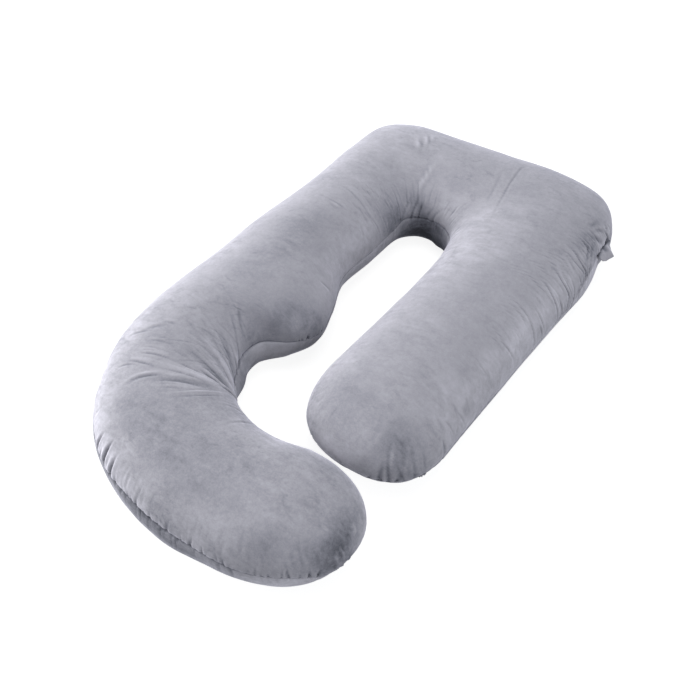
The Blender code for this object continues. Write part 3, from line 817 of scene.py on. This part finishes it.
STITCH_SHADE, STITCH_REACH = 0.65, 0.0019  # painted shade: the dark line where the thread holds the seam in
FULL_TUCK = 0.0028  # how deep a crease is for its full painted shade
DARKEST, PALEST = -1.3, 1
kept = np.unique(np.concatenate(faces))
new_number = np.zeros(len(points), int)
new_number[kept] = np.arange(len(kept))
faces = [tuple(new_number[corner] for corner in face[::-1]) for face in faces]
# Painted shade along the seam and in the folds' troughs, and painted highlight on their ridges.
painted_seam_shade = STITCH_SHADE * np.exp(-((from_seam / STITCH_REACH) ** 2))
painted_fold_shading = np.clip(shape_change / FULL_TUCK - painted_seam_shade, DARKEST, PALEST)
cover = velour_piece("cover", moved[kept], faces, painted_fold_shading[kept], nap_and_shading[kept])

VELOUR_COLOUR = (0.346, 0.343, 0.382, 1)


def set_inputs(node, values):
    """Gives a node's inputs plain values."""
    for label, value in values.items():
        node.inputs[label].default_value = value


def velour_pile_group():
    """Colour and height of crushed short pile: soft patches and brushed streaks where the pile lies
    this way or that, crushed spots, painted shade in the folds and along the seam with painted
    highlight on the folds' ridges, patches of painted shade and painted highlight among the pile's
    own darker and paler ones, and a painted sheen that makes it paler where it is seen side on."""
    group = bpy.data.node_groups.new("velour_pile", "ShaderNodeTree")
    for kind, sockets in (
        ("NodeSocketColor", (
            ("Colour", VELOUR_COLOUR), ("Painted Sheen Colour", (0.81, 0.80, 0.88, 1)),
            ("Deep Tint", (0.90, 0.94, 1.0, 1)),
        )),
        ("NodeSocketFloat", (
            ("Facing", 0.0), ("Painted Sheen Falloff", 2.3), ("Painted Sheen Strength", 0.75), ("Patch Contrast", 0.34),
            ("Streak Contrast", 0.34), ("Crush Contrast", 0.13), ("Grain Contrast", 0.30),
            ("Tuck Shade", 0.46), ("Nap Shade", 1.0),
        )),
    ):
        for label, value in sockets:
            socket = group.interface.new_socket(label, in_out="INPUT", socket_type=kind)
            socket.default_value = value
    group.interface.new_socket("Colour", in_out="OUTPUT", socket_type="NodeSocketColor")
    group.interface.new_socket("Height", in_out="OUTPUT", socket_type="NodeSocketFloat")
    nodes, links = group.nodes, group.links
    given, put_out = nodes.new("NodeGroupInput").outputs, nodes.new("NodeGroupOutput").inputs
    place = nodes.new("ShaderNodeTexCoord").outputs["Object"]

    def maths(kind, a, b=None):
        node = nodes.new("ShaderNodeMath")
        node.operation = kind
        for socket, value in zip(node.inputs, (a, b)):
            if isinstance(value, (int, float)):
                socket.default_value = value
            elif value is not None:
                links.new(value, socket)
        return node.outputs[0]

    def added(a, b):
        return maths("ADD", a, b)

    def times(a, b):
        return maths("MULTIPLY", a, b)

    def cloth_noise(scale, detail, rough, turn=0, stretch=(1, 1, 1), wander=0.0):
        """Noise round zero, turned by degrees and stretched over the cloth."""
        mapping, texture = nodes.new("ShaderNodeMapping"), nodes.new("ShaderNodeTexNoise")
        set_inputs(mapping, {"Rotation": (0, 0, math.radians(turn)), "Scale": stretch})
        set_inputs(
            texture, {"Scale": scale, "Detail": detail, "Roughness": rough, "Distortion": wander}
        )
        links.new(place, mapping.inputs["Vector"])
        links.new(mapping.outputs["Vector"], texture.inputs["Vector"])
        return maths("SUBTRACT", texture.outputs["Fac"], 0.5)

    def step_up(source, low, high):
        """0 where a value lies below low, 1 above high."""
        step = nodes.new("ShaderNodeMapRange")
        step.interpolation_type = "SMOOTHSTEP"
        set_inputs(step, {"From Min": low, "From Max": high})
        links.new(source, step.inputs["Value"])
        return step.outputs["Result"]

    def carried(name):
        """What a point of the cloth carries, such as the painted shade of its folds."""
        attribute = nodes.new("ShaderNodeAttribute")
        attribute.attribute_name = name
        return attribute.outputs["Fac"]

    def mixed(blend, factor, colour, other):
        node = nodes.new("ShaderNodeMix")
        node.data_type, node.blend_type = "RGBA", blend
        for socket, value in ((0, factor), (6, colour), (7, other)):
            links.new(value, node.inputs[socket])
        return node.outputs[2]

    # clouds, two directions of brush strokes that are stronger in places, crushed spots, and grain
    clouds = added(cloth_noise(6.0, 3.0, 0.5), cloth_noise(19.0, 4.0, 0.6, wander=0.6))
    across_strokes = cloth_noise(26.0, 5.0, 0.64, -32, (0.6, 1.4, 1.0), 0.7)
    down_strokes = cloth_noise(38.0, 4.0, 0.64, 48, (0.5, 1.5, 1.0), 0.5)
    brushed = added(across_strokes, times(down_strokes, 0.7))
    unequal = added(times(step_up(cloth_noise(4.5, 2.0, 0.5), -0.12, 0.12), 0.9), 0.55)
    strokes = times(brushed, unequal)
    crushed = step_up(cloth_noise(44.0, 4.0, 0.6, -25, (0.7, 1.2, 1.0), 0.9), 0.02, 0.16)
    crushed = times(crushed, step_up(cloth_noise(7.0, 3.0, 0.6), -0.02, 0.12))
    grain = added(cloth_noise(330.0, 2.0, 0.7), cloth_noise(120.0, 2.0, 0.6))
    texture = times(crushed, times(given["Crush Contrast"], -1.0))
    for effect, strength in (
        (clouds, "Patch Contrast"), (strokes, "Streak Contrast"), (grain, "Grain Contrast"),
    ):
        texture = added(texture, times(effect, given[strength]))
    # where the pile and its painted shade lie dark the brush strokes show more, and so does all
    # texture towards the hook and where the pile is seen side on, under its painted sheen
    nap_and_shading_clamped = maths("MAXIMUM", maths("MINIMUM", carried("nap_and_shading"), 0.10), -0.32)
    nap_and_shading = added(carried("nap_and_shading"), times(times(brushed, 3.8), nap_and_shading_clamped))
    cloth_place = nodes.new("ShaderNodeSeparateXYZ")
    links.new(place, cloth_place.inputs["Vector"])
    handled = added(times(step_up(cloth_place.outputs["Y"], -0.42, -0.15), -0.45), 1.32)
    seen_side_on = added(times(times(given["Facing"], given["Facing"]), 1.1), 0.76)
    shade = times(times(texture, handled), seen_side_on)
    for effect, strength in ((carried("fold_shading"), "Tuck Shade"), (nap_and_shading, "Nap Shade")):
        shade = added(shade, times(effect, given[strength]))
    bright = maths("MAXIMUM", added(shade, 1.0), 0.2)
    # Painted sheen: the colour turns paler where the pile is seen side on.
    painted_sheen = times(maths("POWER", given["Facing"], given["Painted Sheen Falloff"]), given["Painted Sheen Strength"])
    scaled = nodes.new("ShaderNodeVectorMath")
    scaled.operation = "SCALE"
    links.new(mixed("MIX", painted_sheen, given["Colour"], given["Painted Sheen Colour"]), scaled.inputs["Vector"])
    links.new(bright, scaled.inputs["Scale"])
    # what is darker is a little cooler too, painted shade as well as the pile's own darker patches
    cooler = times(maths("MAXIMUM", maths("SUBTRACT", 1.0, bright), 0.0), 1.5)
    cooled = mixed("MULTIPLY", cooler, scaled.outputs["Vector"], given["Deep Tint"])
    links.new(cooled, put_out["Colour"])
    links.new(added(times(strokes, 0.8), times(grain, 0.4)), put_out["Height"])
    return group


velour_pile = velour_pile_group()


def velour(name, colour):
    """Grey velour with a lilac cast: matt face on, and paler where it is seen from the side, by its
    sheen and by a painted sheen in its colour.
    """
    material = bpy.data.materials.new(name)
    material.use_nodes = True
    nodes, links = material.node_tree.nodes, material.node_tree.links
    shader = nodes["Principled BSDF"]
    set_inputs(shader, {
        "Roughness": 0.9, "Specular IOR Level": 0.15, "Sheen Weight": 0.55,
        "Sheen Roughness": 0.35, "Sheen Tint": (0.86, 0.86, 1.0, 1),
    })
    pile = nodes.new("ShaderNodeGroup")
    pile.node_tree = velour_pile
    # The Layer Weight's facing drives the painted sheen in the base colour.
    painted_sheen, bump = nodes.new("ShaderNodeLayerWeight"), nodes.new("ShaderNodeBump")
    set_inputs(pile, {"Colour": colour})
    set_inputs(painted_sheen, {"Blend": 0.5})
    set_inputs(bump, {"Strength": 0.5, "Distance": 0.0012})
    links.new(painted_sheen.outputs["Facing"], pile.inputs["Facing"])
    links.new(pile.outputs["Colour"], shader.inputs["Base Color"])
    links.new(pile.outputs["Height"], bump.inputs["Height"])
    links.new(bump.outputs["Normal"], shader.inputs["Normal"])
    return material


cover.data.materials.append(velour("cover_velour", VELOUR_COLOUR))
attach(cover, "root")
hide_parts("pillow_body")

# -------------------------------------------------------------------------------------------------
# The ear: a corner of the cover's own velour that was folded double and caught in the edge seam on
# the straight arm's side, near the head. It stands out, droops a little and is puffed by a wisp of
# fibre.

EAR_STEPS_ALONG = 44
EAR_STEPS_OUT = 26
EAR_INSET = 0.007  # how far its base reaches into the seam
EAR_PUFF = 0.0060
EAR_EDGE = 0.0008
EAR_LOWER_PUFF = 0.8  # how full its lower side is, against the upper one
# Painted shade in its dents and painted highlight on its ridges, a painted shadow along its base
# where it goes into the seam, and painted shade on its lower side.
EAR_DENT_TUCK = 0.004
EAR_BASE_SHADE, EAR_BASE_REACH = 1.6, 0.0042
EAR_LOWER_SHADE = -0.4
EAR_ARM_FROM = 0.3  # the stretch of the arm's outer seam that it may sit on starts here
# How far it stands out and droops, from one end of its base, 0, to the other, 1.
EAR_ALONG = (0.00, 0.12, 0.34, 0.48, 0.62, 0.80, 1.00)
EAR_REACH = (0.013, 0.020, 0.027, 0.031, 0.019, 0.008, 0.002)
EAR_DROOP = (0.012, 0.016, 0.017, 0.014, 0.009, 0.004, 0.000)
# Hollows and ridges of its upper side: along the base, out towards the tip, and how wide and deep.
Dent = namedtuple("Dent", "along out wide far depth")
EAR_DENTS = (
    Dent(0.40, 0.42, 0.12, 0.20, 0.0046), Dent(0.62, 0.20, 0.10, 0.16, 0.0030),
    Dent(0.20, 0.30, 0.09, 0.30, -0.0016), Dent(0.53, 0.66, 0.06, 0.40, -0.0022),
)

ear_low, ear_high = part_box("seam_tab")
outer_seam = seam[1 : count + 1]
beside_ear = outer_seam[(outer_seam[:, 0] > 0) & (outer_seam[:, 1] > EAR_ARM_FROM)]
beside_ear = beside_ear[np.argsort(beside_ear[:, 1])]
steps_out = np.linspace(0, 1, EAR_STEPS_OUT + 1) ** 0.9
ear_along, ear_out = np.meshgrid(np.linspace(0, 1, EAR_STEPS_ALONG + 1), steps_out, indexing="ij")
ear_y = ear_low[1] + (ear_high[1] - ear_low[1]) * ear_along
ear_middle = np.stack(
    [np.interp(ear_y, beside_ear[:, 1], beside_ear[:, axis]) for axis in range(3)], axis=-1
)
ear_way = np.stack([np.gradient(ear_middle[:, 0, 1]), -np.gradient(ear_middle[:, 0, 0])], axis=1)
ear_way /= np.linalg.norm(ear_way, axis=1)[:, None]
ear_reach = np.interp(ear_along, EAR_ALONG, EAR_REACH) + EAR_INSET
past_seam = ear_reach * ear_out - EAR_INSET
ear_middle[..., :2] += ear_way[:, None] * past_seam[..., None]
ear_middle[..., 2] -= np.interp(ear_along, EAR_ALONG, EAR_DROOP) * ear_out**1.4
edge_fade = np.sin(math.pi * ear_along) ** 0.6 * (1 - ear_out**2.2) ** 0.5
puff = EAR_EDGE + EAR_PUFF * edge_fade * (0.55 + 0.45 * np.cos(math.pi * (ear_out - 0.35)))
dents = np.zeros(ear_along.shape)
for dent in EAR_DENTS:
    u, v = (ear_along - dent.along) / dent.wide, (ear_out - dent.out) / dent.far
    dents += edge_fade * dent.depth * np.exp(-(u**2) - v**2)
ear_upper, ear_lower = ear_middle.copy(), ear_middle.copy()
ear_upper[..., 2] += puff - dents
ear_lower[..., 2] -= puff * EAR_LOWER_PUFF


def ear_faces():
    """Both sides of the ear and the narrow band round its edge."""
    number = np.arange(ear_along.size).reshape(ear_along.shape)
    lower = ear_along.size
    found = []
    for a, b, c, d in zip(*(part.ravel() for part in (
        number[:-1, :-1], number[:-1, 1:], number[1:, 1:], number[1:, :-1]
    ))):
        found += [(a, b, c, d), (lower + a, lower + d, lower + c, lower + b)]
    border = [*number[0], *number[1:, -1], *number[-1, -2::-1], *number[-2:0:-1, 0]]
    return found + [
        (a, lower + a, lower + b, b) for a, b in zip(border, border[1:] + border[:1])
    ]


ear_points = np.vstack([ear_upper.reshape(-1, 3), ear_lower.reshape(-1, 3)])
# Painted shadow along its base, painted shade in its dents and on its lower side, and painted
# highlight on its ridges.
ear_base_shade = EAR_BASE_SHADE * np.exp(-((np.maximum(past_seam, 0) / EAR_BASE_REACH) ** 2))
ear_fold_shading = (-dents / EAR_DENT_TUCK - ear_base_shade).ravel()
ear_fold_shading = np.concatenate([ear_fold_shading, np.full(ear_fold_shading.size, EAR_LOWER_SHADE)])
ear = velour_piece("seam_ear", ear_points, ear_faces(), ear_fold_shading, np.zeros(len(ear_points)))
ear.data.materials.append(velour("tab_velour", VELOUR_COLOUR))
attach(ear, "root")
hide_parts("seam_tab")

# -------------------------------------------------------------------------------------------------
# The plain room: a pale floor, a broad soft light behind and to the left, weaker ones overhead and
# on the near side, and the camera, above the pillow's near right corner.

FLOOR_HALF = 40.0
FLOOR_GAP = 0.0005
FLOOR_GLOW = 0.88  # what makes it white to the camera and still lets it take shadows
floor_mesh = bpy.data.meshes.new("floor")
corners = [(x * FLOOR_HALF, y * FLOOR_HALF, 0) for x, y in ((-1, -1), (1, -1), (1, 1), (-1, 1))]
floor_mesh.from_pydata(corners, [], [(0, 1, 2, 3)])
floor = in_scene("floor", floor_mesh)
floor.location.z = cad_low.z - FLOOR_GAP
floor_material = bpy.data.materials.new("pale_floor")
floor_material.use_nodes = True
floor_tree = floor_material.node_tree
floor_shader = floor_tree.nodes["Principled BSDF"]
set_inputs(floor_shader, {
    "Base Color": (0.31, 0.31, 0.31, 1), "Roughness": 0.9, "Specular IOR Level": 0.1,
    "Emission Color": (1.0, 1.0, 1.0, 1),
})


def camera_strength(tree, lighting, seen, socket):
    """Gives a strength one value for the camera and another for all other light."""
    ray, strength = tree.nodes.new("ShaderNodeLightPath"), tree.nodes.new("ShaderNodeMath")
    strength.operation = "MULTIPLY_ADD"
    strength.inputs[1].default_value = seen - lighting
    strength.inputs[2].default_value = lighting
    tree.links.new(ray.outputs["Is Camera Ray"], strength.inputs[0])
    tree.links.new(strength.outputs[0], socket)


camera_strength(floor_tree, 0.0, FLOOR_GLOW, floor_shader.inputs["Emission Strength"])
floor_mesh.materials.append(floor_material)

centre = (cad_low + cad_high) / 2


def direction(azimuth, height_angle):
    """Away from the pillow, by angles in degrees. Azimuth 0 is +Y and 90 is -X."""
    a, e = math.radians(azimuth), math.radians(height_angle)
    return Vector((-math.sin(a) * math.cos(e), math.cos(a) * math.cos(e), math.sin(e)))


def soft_light(name, azimuth, height_angle, distance, size, power, colour=(1, 1, 1)):
    """A square area light that faces the pillow."""
    data = bpy.data.lights.new(name, "AREA")
    data.shape = "SQUARE"
    data.size = size
    data.energy = power
    data.color = colour
    lamp = in_scene(name, data)
    back = direction(azimuth, height_angle)
    lamp.location = centre + back * distance
    lamp.rotation_euler = back.to_track_quat("Z", "Y").to_euler()


soft_light("key", 110, 18, 3.6, 2.0, 130, (1.0, 0.99, 0.97))
soft_light("overhead", 0, 88, 3.4, 2.6, 53, (1.0, 0.99, 0.97))
soft_light("near_side", -120, 28, 3.8, 2.0, 48)

# The sky lights the room weakly, and is seen as white, so that the floor has no far edge.
SKY_LIGHT = 0.30
SKY_SEEN = 1.12
world = bpy.data.worlds.new("studio")
world.use_nodes = True
sky = world.node_tree.nodes["Background"]
sky.inputs["Color"].default_value = (0.90, 0.95, 1.05, 1)
camera_strength(world.node_tree, SKY_LIGHT, SKY_SEEN, sky.inputs["Strength"])
bpy.context.scene.world = world
bpy.context.scene.view_settings.view_transform = "Standard"

CAMERA_AZIMUTH = 35.05
CAMERA_HEIGHT_ANGLE = 44.3
CAMERA_DISTANCE = 2.033
AIM_FROM_CENTRE = Vector((0.0516, -0.1205, 0.0))
camera_data = bpy.data.cameras.new("camera")
camera_data.lens = 49.37
camera_data.sensor_width = 36.0
camera = in_scene("camera", camera_data)
back = direction(CAMERA_AZIMUTH + 180, CAMERA_HEIGHT_ANGLE)
camera.location = centre + AIM_FROM_CENTRE + back * CAMERA_DISTANCE
camera.rotation_euler = (
    math.radians(90 - CAMERA_HEIGHT_ANGLE), 0.0, math.radians(CAMERA_AZIMUTH)
)
bpy.context.scene.camera = camera
